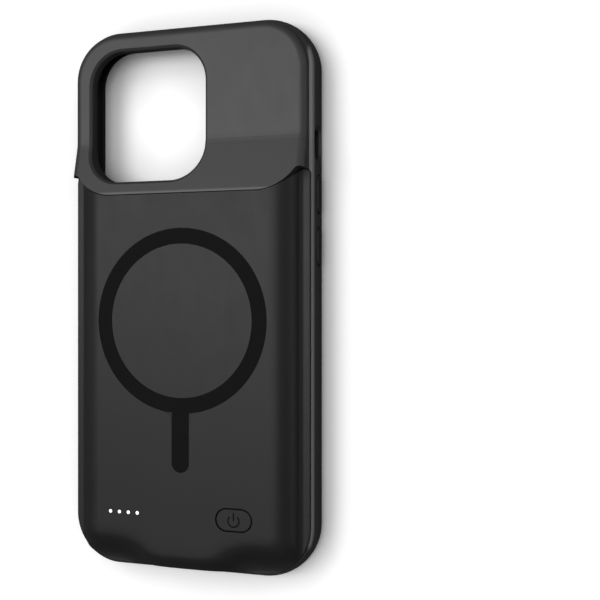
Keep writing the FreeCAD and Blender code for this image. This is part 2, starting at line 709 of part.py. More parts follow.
def battery_cover():
    """Hard cover: bell-ended pack surface over its plan, hollow, with recess, key hole and lamp holes."""
    outer = plan_block(cover_plan(0.0), SHELF_Z, CASE_T + PAST).common(pack_solid())
    half = TRAY_HALF_W + TRAY_GAP
    y0, y1, r = TRAY_Y0 - TRAY_GAP, TRAY_Y1 + TRAY_GAP, TRAY_R + TRAY_GAP
    seat = rounded_block(-half, half, y0, y1, r, SHELF_Z - PAST, TRAY_Z1 + TRAY_GAP)
    room_y0 = max(y0, BELL_Y1)
    room = rounded_block(-half, half, room_y0, y1, r, SHELF_Z - PAST, CASE_T + PAST)
    room = room.common(pillow_block(COVER_WALL, room_y0, y1))
    cover = outer.cut(seat).cut(room)
    recess = ring_face(0.0)
    recess.translate(V(0, 0, CASE_T - INLAY_T))
    cover = cover.cut(recess.extrude(V(0, 0, PAST)))
    cover = cover.cut(stadium(KEY_X, KEY_Y, KEY_W, KEY_H, SHELF_Z, CASE_T + PAST))
    for x, y in lamp_spots():
        cover = cover.cut(lamp_prism(x, y, LAMP_D / 2 + LAMP_GAP, ROOF_Z - COVER_WALL, CASE_T + PAST))
    notch = CABLE_W / 2 + CABLE_GAP
    cover = cover.cut(
        box(-notch, notch, DOCK_BOARD_Y1, BELL_Y1 + CABLE_GAP, POCKET_Z1, CABLE_Z1 + CABLE_GAP))
    return cover.Solids[0]


def power_button():
    """Power key: stadium cap with a flange below the cover, over the switch."""
    w, h = KEY_W - 2 * KEY_GAP, KEY_H - 2 * KEY_GAP
    cap = stadium(KEY_X, KEY_Y, w, h, KEY_FLANGE_Z1, CASE_T)
    cap = cap.makeChamfer(KEY_BEVEL, cap.Faces[-1].Edges)
    flange = box(
        KEY_X - KEY_W / 2 - KEY_FLANGE, KEY_X + KEY_W / 2 + KEY_FLANGE, KEY_Y - KEY_H / 2 - KEY_FLANGE,
        KEY_Y + KEY_H / 2 + KEY_FLANGE, KEY_FLANGE_Z0, KEY_FLANGE_Z1)
    return cap.fuse(flange).removeSplitter().Solids[0]


def inner_tray():
    """Tray between pocket and cell: floor, board posts and the dock wall with the plug's hole."""
    tray = rounded_block(-TRAY_HALF_W, TRAY_HALF_W, TRAY_Y0, TRAY_Y1, TRAY_R, POCKET_Z1, TRAY_Z1)
    wall_w = CHIN_HALF_W - DOCK_GAP
    wall = box(-wall_w, wall_w, DOCK_WALL_Y0, POCKET_Y0, CHIN_FLOOR + DOCK_GAP, POCKET_Z1)
    hole_w, hole_h = (size / 2 + DOCK_GAP for size in (PLUG_W, PLUG_T))
    hole = box(
        -hole_w, hole_w, POCKET_Y0 - PAST, POCKET_Y0 + PAST, POCKET_MID_Z - hole_h, POCKET_MID_Z + hole_h)
    tray = tray.fuse(wall.cut(hole))
    half = BOARD_POST_W / 2
    post_x = BOARD_HALF_W - BOARD_POST_W
    post_y = BOARD_L / 2 - BOARD_POST_W
    for sx in (-1, 1):
        for sy in (-1, 1):
            cx, cy = sx * post_x, BOARD_Y + sy * post_y
            tray = tray.fuse(box(cx - half, cx + half, cy - half, cy + half, TRAY_Z1, BOARD_Z0))
    return tray.removeSplitter().Solids[0]


def battery_cell():
    """Sealed pouch cell."""
    return box(-CELL_HALF_W, CELL_HALF_W, CELL_Y0, CELL_Y1, CELL_Z0, CELL_Z1)


def battery_tape():
    """Adhesive sheet under the cell."""
    half = CELL_HALF_W - TAPE_IN
    return box(-half, half, CELL_Y0 + TAPE_IN, CELL_Y1 - TAPE_IN, TRAY_Z1, CELL_Z0)


def cell_tabs():
    """Two metal strips from the cell's end to the board."""
    y0 = BOARD_Y1 - TAB_STRIP_LAP
    half = TAB_STRIP_W / 2
    return Part.makeCompound([
        box(x - half, x + half, y0, CELL_Y0, BOARD_Z1, BOARD_Z1 + TAB_STRIP_T)
        for x in (-TAB_STRIP_X, TAB_STRIP_X)])


def main_board():
    """Circuit board on the tray's posts."""
    return box(-BOARD_HALF_W, BOARD_HALF_W, BOARD_Y0, BOARD_Y1, BOARD_Z0, BOARD_Z1)


def led_chips():
    """Lamp chips on the board, one under each pin of the light guide."""
    return Part.makeCompound([
        box(x - CHIP_L / 2, x + CHIP_L / 2, y - CHIP_W / 2, y + CHIP_W / 2, BOARD_Z1, BOARD_Z1 + CHIP_T)
        for x, y in lamp_spots()])


def light_guide():
    """Clear moulding: a bar above the chips and a pin through the cover for each lamp."""
    spots = lamp_spots()
    half = GUIDE_BAR_W / 2
    z0 = BOARD_Z1 + CHIP_T + GUIDE_GAP
    z1 = z0 + GUIDE_BAR_T
    x0, x1 = spots[0][0] - half, spots[-1][0] + half
    guide = box(x0, x1, LAMP_Y - half, LAMP_Y + half, z0, z1)
    for x, y in spots:
        guide = guide.fuse(lamp_prism(x, y, LAMP_D / 2, z1, CASE_T))
    return guide.removeSplitter().Solids[0]


def tact_switch():
    """Switch below the power key: body and square cap."""
    half, cap = SWITCH_W / 2, SWITCH_CAP_W / 2
    body_z1 = SWITCH_Z1 - SWITCH_CAP_T
    body = box(KEY_X - half, KEY_X + half, KEY_Y - half, KEY_Y + half, BOARD_Z1, body_z1)
    return body.fuse(box(KEY_X - cap, KEY_X + cap, KEY_Y - cap, KEY_Y + cap, body_z1, SWITCH_Z1))


def controller_chip():
    """Charge controller on the board."""
    half = CONTROLLER_W / 2
    x0, x1 = CONTROLLER_X - half, CONTROLLER_X + half
    return box(x0, x1, BOARD_Y - half, BOARD_Y + half, BOARD_Z1, BOARD_Z1 + CONTROLLER_T)


def inductor():
    """Power inductor on the board."""
    half = COIL_W / 2
    x0, x1 = COIL_X - half, COIL_X + half
    return box(x0, x1, BOARD_Y - half, BOARD_Y + half, BOARD_Z1, BOARD_Z1 + COIL_T)


def board_capacitors():
    """Row of capacitors on the board."""
    places = [(i - (CAP_N - 1) / 2) * CAP_PITCH for i in range(CAP_N)]
    return Part.makeCompound([
        box(x - CAP_W / 2, x + CAP_W / 2, CAP_Y - CAP_L / 2, CAP_Y + CAP_L / 2, BOARD_Z1, BOARD_Z1 + CAP_W)
        for x in places])


def magnet_array():
    """Open arc of straight-sided magnet segments under the ring."""
    span = (360 - MAGNET_OPEN_DEG) / MAGNET_N
    start = -180 + MAGNET_OPEN_DEG / 2
    magnets = []
    for i in range(MAGNET_N):
        a0 = math.radians(start + i * span + MAGNET_SLIT_DEG / 2)
        a1 = math.radians(start + (i + 1) * span - MAGNET_SLIT_DEG / 2)
        corners = [(MAGNET_RI, a0), (MAGNET_RO, a0), (MAGNET_RO, a1), (MAGNET_RI, a1), (MAGNET_RI, a0)]
        outline = [V(r * math.sin(a), RING_Y + r * math.cos(a), MAGNET_Z0) for r, a in corners]
        magnets.append(Part.Face(Part.makePolygon(outline)).extrude(V(0, 0, MAGNET_T)))
    return Part.makeCompound(magnets)


def align_magnet():
    """Bar magnet under the stem."""
    return box(-BAR_W / 2, BAR_W / 2, BAR_Y0, BAR_Y1, MAGNET_Z0, MAGNET_Z1)


def dock_plug():
    """Plug: blade into the pocket and its base behind the dock wall."""
    blade = stadium(0, 0, PLUG_W, PLUG_T, 0, PLUG_REACH + DOCK_WALL_T)
    blade = stand_on_end(blade, 0, POCKET_MID_Z, POCKET_Y0 + PLUG_REACH)
    half, rise = PLUG_BASE_W / 2, PLUG_BASE_T / 2
    base = box(-half, half, DOCK_BOARD_Y1, DOCK_WALL_Y0, POCKET_MID_Z - rise, POCKET_MID_Z + rise)
    return blade.fuse(base).removeSplitter().Solids[0]


def dock_board():
    """Upright board between plug and charge port."""
    half = DOCK_BOARD_W / 2
    z0, z1 = POCKET_MID_Z - DOCK_BOARD_RISE, POCKET_MID_Z + DOCK_BOARD_RISE
    return box(-half, half, DOCK_BOARD_Y0, DOCK_BOARD_Y1, z0, z1)


def charge_port():
    """Oval receptacle: a shell closed at the back and the contact tongue in it."""
    shell = stadium(0, 0, PORT_W, PORT_H, 0, PORT_L)
    inside = stadium(0, 0, PORT_W - 2 * PORT_WALL, PORT_H - 2 * PORT_WALL, PORT_WALL, PORT_L + PAST)
    half, rise = PORT_TONGUE_W / 2, PORT_TONGUE_T / 2
    tongue = box(-half, half, -rise, rise, 0, PORT_L - PORT_SINK)
    port = shell.cut(inside).fuse(tongue).removeSplitter()
    return stand_on_end(port, 0, POCKET_MID_Z, DOCK_BOARD_Y0).Solids[0]


def ribbon_cable():
    """Flat cable: up from the dock board, then over the main board's edge and down onto it."""
    t = CABLE_T
    z0 = POCKET_MID_Z + PLUG_BASE_T / 2 + CABLE_GAP
    z1 = CABLE_Z1
    y0, y1, y2 = CABLE_Y0, CABLE_Y1, BOARD_Y0 + CABLE_LAP
    outline = [
        (y0, z0), (y0 + t, z0), (y0 + t, z1 - t), (y1, z1 - t), (y1, BOARD_Z1), (y2, BOARD_Z1),
        (y2, BOARD_Z1 + t), (y1 + t, BOARD_Z1 + t), (y1 + t, z1), (y0, z1), (y0, z0),
    ]
    wire = Part.makePolygon([V(-CABLE_W / 2, y, z) for y, z in outline])
    return Part.Face(wire).extrude(V(CABLE_W, 0, 0))


def volume_up_button():
    """Upper key of the +X wall."""
    return side_key(SIDE_KEY_L, HALF_L - VOLUME_UP_FROM_TOP, 1)


def volume_down_button():
    """Lower key of the +X wall."""
    return side_key(SIDE_KEY_L, HALF_L - VOLUME_DOWN_FROM_TOP, 1)


def side_button():
    """Long key of the -X wall."""
    return side_key(LONG_KEY_L, HALF_L - LONG_KEY_FROM_TOP, -1)


PIECES = (
    bumper_frame, battery_cover, ring_inlay, light_guide, power_button, volume_up_button, volume_down_button,
    side_button, inner_tray, battery_cell, battery_tape, cell_tabs, main_board, led_chips, tact_switch,
    controller_chip, inductor, board_capacitors, dock_plug, dock_board, charge_port, ribbon_cable,
    magnet_array, align_magnet,
)

os.makedirs("parts", exist_ok=True)
for piece in PIECES:
    shape = piece()
    shape.exportStep("parts/" + piece.__name__ + ".step")
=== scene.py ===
import logging
import math
from dataclasses import dataclass, field
from enum import Enum

import bpy
import numpy as np
from mathutils import Matrix, Vector


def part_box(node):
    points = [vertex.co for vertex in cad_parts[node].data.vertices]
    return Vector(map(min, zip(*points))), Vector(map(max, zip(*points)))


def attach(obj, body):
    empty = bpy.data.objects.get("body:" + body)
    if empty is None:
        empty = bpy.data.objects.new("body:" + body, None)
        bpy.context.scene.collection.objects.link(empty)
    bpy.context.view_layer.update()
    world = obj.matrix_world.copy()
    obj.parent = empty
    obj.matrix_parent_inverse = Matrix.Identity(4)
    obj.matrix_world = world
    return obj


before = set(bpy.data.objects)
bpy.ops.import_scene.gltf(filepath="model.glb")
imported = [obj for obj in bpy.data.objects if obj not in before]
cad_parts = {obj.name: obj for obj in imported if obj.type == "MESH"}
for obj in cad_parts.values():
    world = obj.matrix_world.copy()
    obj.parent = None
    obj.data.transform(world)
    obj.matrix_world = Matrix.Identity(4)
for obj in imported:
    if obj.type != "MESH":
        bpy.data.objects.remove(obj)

log = logging.getLogger("battery_case")

MM = 0.001
Colour = tuple[float, float, float]
Point = tuple[float, float, float]
Grid = tuple[np.ndarray, np.ndarray]


class Shade:
    """One value socket of a material, which takes part in Python expressions."""

    def __init__(self, recipe: "Recipe", socket: bpy.types.NodeSocket) -> None:
        """Keep the socket and the recipe that it belongs to."""
        self.recipe = recipe
        self.socket = socket

    def maths(self, operation: str, first: object, second: object = 0.0) -> "Shade":
        """Add a Math node.

        Args:
            operation: name of the Math node's operation.
            first: its first value, a number or a Shade.
            second: its second value, a number or a Shade.

        Returns:
            The result as a new Shade.
        """
        made = self.recipe.node("ShaderNodeMath", {"operation": operation}, {0: first, 1: second})
        return Shade(self.recipe, made.outputs[0])

    def __add__(self, other: object) -> "Shade":
        """Sum of two values."""
        return self.maths("ADD", self, other)

    def __radd__(self, other: object) -> "Shade":
        """Sum of a number and a value."""
        return self.maths("ADD", other, self)

    def __sub__(self, other: object) -> "Shade":
        """Difference of two values."""
        return self.maths("SUBTRACT", self, other)

    def __rsub__(self, other: object) -> "Shade":
        """Difference of a number and a value."""
        return self.maths("SUBTRACT", other, self)

    def __mul__(self, other: object) -> "Shade":
        """Product of two values."""
        return self.maths("MULTIPLY", self, other)

    def __rmul__(self, other: object) -> "Shade":
        """Product of a number and a value."""
        return self.maths("MULTIPLY", other, self)

    def __truediv__(self, other: object) -> "Shade":
        """Quotient of two values."""
        return self.maths("DIVIDE", self, other)

    def __pow__(self, other: object) -> "Shade":
        """Power of a value."""
        return self.maths("POWER", self, other)

    def __abs__(self) -> "Shade":
        """Size of a value without its sign."""
        return self.maths("ABSOLUTE", self)

    def saw(self, period: float) -> "Shade":
        """Distance to the nearest whole multiple of a period, as a zigzag."""
        return self.maths("PINGPONG", self, period / 2)

    def step(self, start: float, end: float, low: float = 0.0, high: float = 1.0) -> "Shade":
        """Smooth step of this value.

        Args:
            start: value at which the step begins.
            end: value at which it is done.
            low: result at the start.
            high: result at the end.

        Returns:
            The stepped value.
        """
        made = self.recipe.node(
            "ShaderNodeMapRange",
            {"interpolation_type": "SMOOTHSTEP"},
            {"Value": self, "From Min": start, "From Max": end, "To Min": low, "To Max": high},
        )
        return Shade(self.recipe, made.outputs["Result"])


class Recipe:
    """Node tree of one material, with a principled surface at its end."""

    def __init__(self, name: str) -> None:
        """Start an empty material with its surface and output.

        Args:
            name: the material's name.
        """
        self.material = bpy.data.materials.new(name)
        self.material.use_nodes = True
        self.tree = self.material.node_tree
        self.tree.nodes.clear()
        self.surface = self.node("ShaderNodeBsdfPrincipled")
        sockets = {"Surface": self.surface.outputs["BSDF"]}
        self.output = self.node("ShaderNodeOutputMaterial", {}, sockets)
        self.place = self.node("ShaderNodeTexCoord").outputs["Object"]

    def node(
        self,
        kind: str,
        settings: dict[str, object] | None = None,
        sockets: dict[object, object] | None = None,
    ) -> bpy.types.Node:
        """Add one node.

        Args:
            kind: the node's type.
            settings: its own settings by name.
            sockets: values, Shades or sockets for its inputs, by name or number.

        Returns:
            The new node.
        """
        made = self.tree.nodes.new(kind)
        for key, value in (settings or {}).items():
            setattr(made, key, value)
        for key, value in (sockets or {}).items():
            self.feed(made.inputs[key], value)
        return made

    def feed(self, socket: bpy.types.NodeSocket, value: object) -> None:
        """Link a Shade or a socket to an input, or set its value."""
        if isinstance(value, Shade):
            self.tree.links.new(value.socket, socket)
        elif isinstance(value, bpy.types.NodeSocket):
            self.tree.links.new(value, socket)
        elif isinstance(value, tuple) and socket.type == "RGBA" and len(value) == 3:
            socket.default_value = (*value, 1.0)
        else:
            socket.default_value = value

    def set(self, **values: object) -> None:
        """Feed inputs of the surface, each named with underscores for spaces."""
        for key, value in values.items():
            self.feed(self.surface.inputs[key.replace("_", " ")], value)

    def axes(self) -> tuple[Shade, Shade, Shade]:
        """The three object coordinates, in metres."""
        made = self.node("ShaderNodeSeparateXYZ", {}, {0: self.place})
        return tuple(Shade(self, out) for out in made.outputs)

    def noise(
        self, grain: float, detail: float = 2.0, rough: float = 0.5, stretch: Point = (1.0, 1.0, 1.0)
    ) -> Shade:
        """Cloudy noise in object coordinates.

        Args:
            grain: size of one grain, in metres.
            detail: number of finer layers.
            rough: weight of the finer layers.
            stretch: factor on each axis.

        Returns:
            The noise, about 0 to 1.
        """
        place = self.place
        if stretch != (1.0, 1.0, 1.0):
            place = self.node("ShaderNodeMapping", {}, {"Vector": place, "Scale": stretch}).outputs[0]
        sockets = {"Vector": place, "Scale": 1 / grain, "Detail": detail, "Roughness": rough}
        return Shade(self, self.node("ShaderNodeTexNoise", {}, sockets).outputs[0])

    def cells(self, grain: float) -> Shade:
        """Distance to the nearest point of a scatter with one point per grain."""
        made = self.node("ShaderNodeTexVoronoi", {}, {"Vector": self.place, "Scale": 1 / grain})
        return Shade(self, made.outputs["Distance"])

    def blend(self, factor: object, first: object, second: object) -> bpy.types.NodeSocket:
        """Mix of two colours.

        Args:
            factor: share of the second colour.
            first: colour or socket at 0.
            second: colour or socket at 1.

        Returns:
            The mixed colour.
        """
        made = self.node("ShaderNodeMix", {"data_type": "RGBA"}, {0: factor, 6: first, 7: second})
        return made.outputs[2]

    def rounded(self, edge: float) -> bpy.types.NodeSocket:
        """Normal of the surface with its edges rounded to a radius, in metres."""
        return self.node("ShaderNodeBevel", {"samples": 6}, {"Radius": edge}).outputs[0]

    def relief(
        self, height: Shade, depth: float, strength: float = 1.0, normal: bpy.types.NodeSocket | None = None
    ) -> None:
        """Give the surface a bump.

        Args:
            height: height of the relief, 0 to 1.
            depth: height of 1, in metres.
            strength: strength of the bump.
            normal: normal below the bump, if it isn't the mesh's own.
        """
        sockets = {"Height": height, "Distance": depth, "Strength": strength}
        if normal is not None:
            sockets["Normal"] = normal
        self.set(Normal=self.node("ShaderNodeBump", {}, sockets).outputs[0])


@dataclass(frozen=True)
class SideBand:
    """Band along both side walls, in which a finish differs: painted lighter as a painted highlight, or
    given softer edges.

    Attributes:
        inner: distance from the middle plane at which it starts, in metres.
        low: lower edge, in metres.
        high: upper edge, in metres.
        fade: width of its soft edges, in metres.
    """

    inner: float
    low: float
    high: float
    fade: float

    def mask(self, recipe: Recipe) -> Shade:
        """Share of the band at each point.

        Args:
            recipe: material that the share is for.

        Returns:
            1 inside the band and 0 outside it.
        """
        x, _, z = recipe.axes()
        across = abs(x).step(self.inner, self.inner + self.fade)
        above = z.step(self.low, self.low + self.fade)
        below = z.step(self.high, self.high - 0.3 * self.fade)
        return across * above * below


@dataclass(frozen=True)
class CrestBand:
    """Lip along the crest of the ramp, which is painted lighter as a painted highlight.

    Attributes:
        edge: place of the crest along Y, in metres.
        low: height from which the lip is seen, in metres.
        fade: width of the lip, in metres.
    """

    edge: float
    low: float
    fade: float

    def mask(self, recipe: Recipe) -> Shade:
        """Share of the lip at each point.

        Args:
            recipe: material that the share is for.

        Returns:
            1 at the crest and 0 away from it.
        """
        _, y, z = recipe.axes()
        near = y.step(self.edge + self.fade, self.edge + 0.3 * self.fade)
        return near * z.step(self.low, self.low + 0.3 * MM)


@dataclass(frozen=True)
class MouldedPlastic:
    """Moulded plastic or rubber with a spark-eroded grain.

    Attributes:
        name: name of the finish.
        colour: base colour.
        rough: middle roughness.
        grain: size of the grain, in metres.
        depth: depth of the grain, in metres.
        tone: share by which the colour varies.
        specular: level of the reflection.
        edge: radius of the softened edges, in metres.
        painted_highlights: bands painted lighter as painted highlights, each with its colour.
        foot: band whose edges are softer, or None.
        foot_edge: radius of its edges, in metres.
    """

    name: str
    colour: Colour
    rough: float = 0.5
    grain: float = 0.18 * MM
    depth: float = 0.012 * MM
    tone: float = 0.12
    specular: float = 0.35
    edge: float = 0.2 * MM
    painted_highlights: tuple[tuple[SideBand | CrestBand, Colour], ...] = ()
    foot: SideBand | None = None
    foot_edge: float = 0.8 * MM

    def make(self) -> bpy.types.Material:
        """Build the material: two sizes of grain, slow mottling, faint handling marks and painted
        highlights.

        Returns:
            The material.
        """
        recipe = Recipe(self.name)
        fine = recipe.noise(self.grain, 2.0, 0.6)
        pits = recipe.cells(self.grain * 1.6)
        slow = recipe.noise(9 * MM, 3.0, 0.55)
        rub = recipe.noise(2.2 * MM, 2.0, 0.5, (1.0, 0.25, 1.0))
        dark = tuple(c * (1 - self.tone) for c in self.colour)
        light = tuple(c * (1 + self.tone) for c in self.colour)
        colour = recipe.blend((0.55 * fine + 0.45 * slow).step(0.25, 0.75), dark, light)
        normal = recipe.rounded(self.edge)
        # Painted highlight: each band is painted in its lighter colour.
        for band, highlight_colour in self.painted_highlights:
            colour = recipe.blend(band.mask(recipe), colour, highlight_colour)
        if self.foot is not None:
            sockets = {0: self.foot.mask(recipe), 4: normal, 5: recipe.rounded(self.foot_edge)}
            normal = recipe.node("ShaderNodeMix", {"data_type": "VECTOR"}, sockets).outputs[1]
        recipe.set(
            Base_Color=colour,
            Roughness=self.rough + 0.10 * (slow - 0.5) + 0.06 * (fine - 0.5) + 0.05 * (rub - 0.5),
            Specular_IOR_Level=self.specular,
        )
        recipe.relief(0.6 * fine + 0.4 * pits, self.depth, 0.5, normal)
        return recipe.material


@dataclass(frozen=True)
class MattPrint:
    """Dense matt black print with a faint screen grain.

    Attributes:
        name: name of the finish.
        colour: colour of the print.
        screen: pitch of the screen, in metres.
    """

    name: str
    colour: Colour
    screen: float = 0.12 * MM

    def make(self) -> bpy.types.Material:
        """Build the material: screen grain in two directions and slow tone changes.

        Returns:
            The material.
        """
        recipe = Recipe(self.name)
        x, y, _ = recipe.axes()
        weave = (x + y).saw(self.screen) / self.screen + (x - y).saw(self.screen) / self.screen
        slow = recipe.noise(5 * MM, 3.0)
        fine = recipe.noise(0.1 * MM, 2.0)
        dark = tuple(c * 0.8 for c in self.colour)
        light = tuple(c * 1.25 for c in self.colour)
        recipe.set(
            Base_Color=recipe.blend((0.5 * slow + 0.5 * fine).step(0.25, 0.75), dark, light),
            Roughness=0.72 + 0.10 * (slow - 0.5) + 0.06 * weave,
            Specular_IOR_Level=0.11,
        )
        recipe.relief(0.5 * weave + 0.5 * fine, 0.004 * MM, 0.4)
        return recipe.material


@dataclass(frozen=True)
class LitLamp:
    """Clear light guide whose face glows.

    Attributes:
        name: name of the finish.
        first: centre of the first lamp, in metres.
        pitch: distance between lamps along X, in metres.
        radius: radius of one lamp, in metres.
        face: height of the lamps' faces, in metres.
        power: strength of the glow.
        shell: darker and lighter tone of the guide round the glow.
    """

    name: str
    first: tuple[float, float]
    pitch: float
    radius: float
    face: float
    power: float = 2.0
    shell: tuple[Colour, Colour] = ((0.09, 0.09, 0.092), (0.14, 0.14, 0.145))

    def make(self) -> bpy.types.Material:
        """Build the material: each lamp is brightest in its middle, and only its face glows.

        Returns:
            The material.
        """
        recipe = Recipe(self.name)
        x, y, z = recipe.axes()
        across = (x - self.first[0] + 40 * self.pitch).saw(self.pitch)
        along = y - self.first[1]
        reach = (across * across + along * along) ** 0.5 / self.radius
        top = z.step(self.face - 0.1 * MM, self.face - 0.02 * MM)
        glow = reach.step(0.85, 0.4) * top
        grain = recipe.noise(0.08 * MM, 2.0)
        recipe.set(
            Base_Color=recipe.blend(glow, recipe.blend(grain, *self.shell), (0.9, 0.9, 0.9)),
            Roughness=0.22 + 0.15 * grain,
            Emission_Color=recipe.blend(glow, (0.0, 0.0, 0.0), (1.0, 1.0, 1.0)),
            Emission_Strength=self.power,
        )
        recipe.relief(grain, 0.003 * MM, 0.3)
        return recipe.material


@dataclass(frozen=True)
class Metal:
    """Plated, rolled or brushed metal.

    Attributes:
        name: name of the finish.
        colour: colour of the metal.
        rough: middle roughness.
        brush: stretch of the marks along each axis, small where they run.
        mark: width of one mark, in metres.
        depth: depth of the marks, in metres.
    """

    name: str
    colour: Colour
    rough: float = 0.3
    brush: Point = (1.0, 0.08, 1.0)
    mark: float = 0.12 * MM
    depth: float = 0.003 * MM

    def make(self) -> bpy.types.Material:
        """Build the material: long marks and faint stains.

        Returns:
            The material.
        """
        recipe = Recipe(self.name)
        marks = recipe.noise(self.mark, 3.0, 0.6, self.brush)
        stain = recipe.noise(3 * MM, 3.0)
        dark = tuple(c * 0.82 for c in self.colour)
        recipe.set(
            Base_Color=recipe.blend((0.6 * stain + 0.4 * marks).step(0.3, 0.75), dark, self.colour),
            Roughness=self.rough + 0.14 * (marks - 0.5) + 0.12 * (stain - 0.5),
            Metallic=1.0,
        )
        recipe.relief(marks, self.depth, 0.4)
        return recipe.material


@dataclass(frozen=True)
class PrintedBoard:
    """Circuit board: solder mask over tracks, with tinned pads.

    Attributes:
        name: name of the finish.
        mask: colour of the mask on bare board.
        track: colour of the mask over copper.
        pitch: distance between tracks, in metres.
    """

    name: str
    mask: Colour
    track: Colour
    pitch: float = 1.1 * MM

    def make(self) -> bpy.types.Material:
        """Build the material: tracks along both axes, switched by slow patches, and rows of pads.

        Returns:
            The material.
        """
        recipe = Recipe(self.name)
        x, y, z = recipe.axes()
        patch = recipe.noise(4 * MM, 1.0).step(0.48, 0.52)
        rows = x.saw(self.pitch).step(0.12 * MM, 0.16 * MM)
        lines = (y + z).saw(self.pitch).step(0.12 * MM, 0.16 * MM)
        tracks = 1 - (patch * rows + (1 - patch) * lines)
        dots = (x.saw(2 * self.pitch) ** 2.0 + (y + z).saw(2 * self.pitch) ** 2.0) ** 0.5
        pads = dots.step(0.34 * MM, 0.30 * MM) * (1 - patch)
        fine = recipe.noise(0.3 * MM, 2.0)
        body = recipe.blend(tracks, self.mask, self.track)
        recipe.set(
            Base_Color=recipe.blend(pads, body, (0.62, 0.6, 0.55)),
            Roughness=0.38 + 0.12 * fine - 0.1 * pads,
            Metallic=pads,
        )
        recipe.relief(0.6 * tracks + 0.4 * fine, 0.02 * MM, 0.5)
        return recipe.material


@dataclass(frozen=True)
class FibreTape:
    """Adhesive paper or ceramic with a fibrous tone.

    Attributes:
        name: name of the finish.
        colour: lighter tone.
        shade: darker tone.
        stretch: stretch of the fibres along each axis.
    """

    name: str
    colour: Colour
    shade: Colour
    stretch: Point = (1.0, 0.2, 1.0)

    def make(self) -> bpy.types.Material:
        """Build the material: long fibres over a slow tone.

        Returns:
            The material.
        """
        recipe = Recipe(self.name)
        fibres = recipe.noise(0.25 * MM, 3.0, 0.6, self.stretch)
        slow = recipe.noise(6 * MM, 2.0)
        recipe.set(
            Base_Color=recipe.blend((0.6 * fibres + 0.4 * slow).step(0.3, 0.7), self.shade, self.colour),
            Roughness=0.7 + 0.15 * (fibres - 0.5),
        )
        recipe.relief(fibres, 0.02 * MM, 0.5)
        return recipe.material


@dataclass(frozen=True)
class FlexFilm:
    """Amber film with copper tracks that run along it.

    Attributes:
        name: name of the finish.
        film: colour of the film.
        copper: colour over the tracks.
        pitch: distance between tracks, in metres.
    """

    name: str
    film: Colour
    copper: Colour
    pitch: float = 0.6 * MM

    def make(self) -> bpy.types.Material:
        """Build the material: straight tracks across X, with a fine sheen.

        Returns:
            The material.
        """
        recipe = Recipe(self.name)
        x, _, _ = recipe.axes()
        tracks = x.saw(self.pitch).step(0.16 * MM, 0.11 * MM)
        fine = recipe.noise(0.4 * MM, 2.0)
        recipe.set(
            Base_Color=recipe.blend(tracks, self.film, self.copper),
            Roughness=0.3 + 0.12 * fine,
            Metallic=0.5 * tracks,
        )
        recipe.relief(tracks, 0.01 * MM, 0.4)
        return recipe.material


def strip_along(path: np.ndarray, width: np.ndarray, rise: float, across: int = 9) -> Grid:
    """Low strip that lies flat along a path in a plane z = constant.

    The profile is a half sine: a point at share s across the width w is the path's point plus its left
    normal times (s - 1/2) w, raised by rise times sin(pi s).

    Args:
        path: points of the path, one row each, in metres.
        width: width of the strip at each point, in metres.
        rise: height of its middle, in metres.
        across: number of points across.

    Returns:
        The vertices, and the quads as rows of four indices.
    """
    along = np.gradient(path[:, :2], axis=0)
    along /= np.linalg.norm(along, axis=1, keepdims=True)
    left = np.stack([-along[:, 1], along[:, 0], np.zeros(len(path))], axis=1)
    share = np.linspace(0.0, 1.0, across)
    side = (share - 0.5)[None, :, None] * width[:, None, None] * left[:, None, :]
    up = np.array([0.0, 0.0, 1.0])[None, None, :] * (rise * np.sin(np.pi * share))[None, :, None]
    points = path[:, None, :] + side + up
    return points.reshape(-1, 3), grid_quads(len(path), across)[:, ::-1]


def grid_quads(rows: int, columns: int) -> np.ndarray:
    """Quads of a grid whose points are numbered row by row.

    Args:
        rows: number of rows.
        columns: number of columns.

    Returns:
        Rows of four indices.
    """
    index = np.arange(rows * columns).reshape(rows, columns)
    quads = np.stack([index[:-1, :-1], index[1:, :-1], index[1:, 1:], index[:-1, 1:]], axis=-1)
    return quads.reshape(-1, 4)


def round_ends(length: float, width: float, count: int = 25) -> tuple[np.ndarray, np.ndarray]:
    """Places along a straight stroke and its widths there, so that its ends are round.

    The places are half the length times minus cosine of an even angle. Within half a width of an end the
    stroke is as wide as a circle's chord.

    Args:
        length: whole length of the stroke, in metres.
        width: its width, in metres.
        count: number of places.

    Returns:
        The places from minus half to plus half the length, and the widths.
    """
    places = -0.5 * length * np.cos(np.linspace(0.0, math.pi, count))
    into = np.clip(np.abs(places) - 0.5 * (length - width), 0.0, 0.5 * width)
    chord = np.sqrt(np.maximum((0.5 * width) ** 2 - into ** 2, 0.0))
    return places, np.maximum(2 * chord, 0.02 * width)


class Shading(Enum):
    """How a mesh's faces are shaded."""

    SMOOTH = True
    FLAT = False


def mesh_piece(
    name: str, parts: list[Grid], material: bpy.types.Material, shading: Shading = Shading.SMOOTH
) -> bpy.types.Object:
    """Object from one or more grids of quads.

    Args:
        name: name of the piece.
        parts: vertices and quads of each grid.
        material: its material.
        shading: smooth or flat faces.

    Returns:
        The new object, at the origin.
    """
    starts = np.cumsum([0] + [len(points) for points, _ in parts[:-1]])
    points = np.concatenate([p for p, _ in parts])
    quads = np.concatenate([q + s for (_, q), s in zip(parts, starts)])
    mesh = bpy.data.meshes.new(name)
    mesh.from_pydata(points.tolist(), [], quads.tolist())
    mesh.polygons.foreach_set("use_smooth", np.full(len(mesh.polygons), shading.value))
    mesh.materials.append(material)
    mesh.update()
    piece = bpy.data.objects.new(name, mesh)
    bpy.context.scene.collection.objects.link(piece)
    return piece


def paint(node: str, material: bpy.types.Material) -> None:
    """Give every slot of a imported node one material.

    Args:
        node: name of the node.
        material: its material.
    """
    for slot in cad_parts[node].material_slots:
        slot.material = material
    log.info("painted %s with %s", node, material.name)


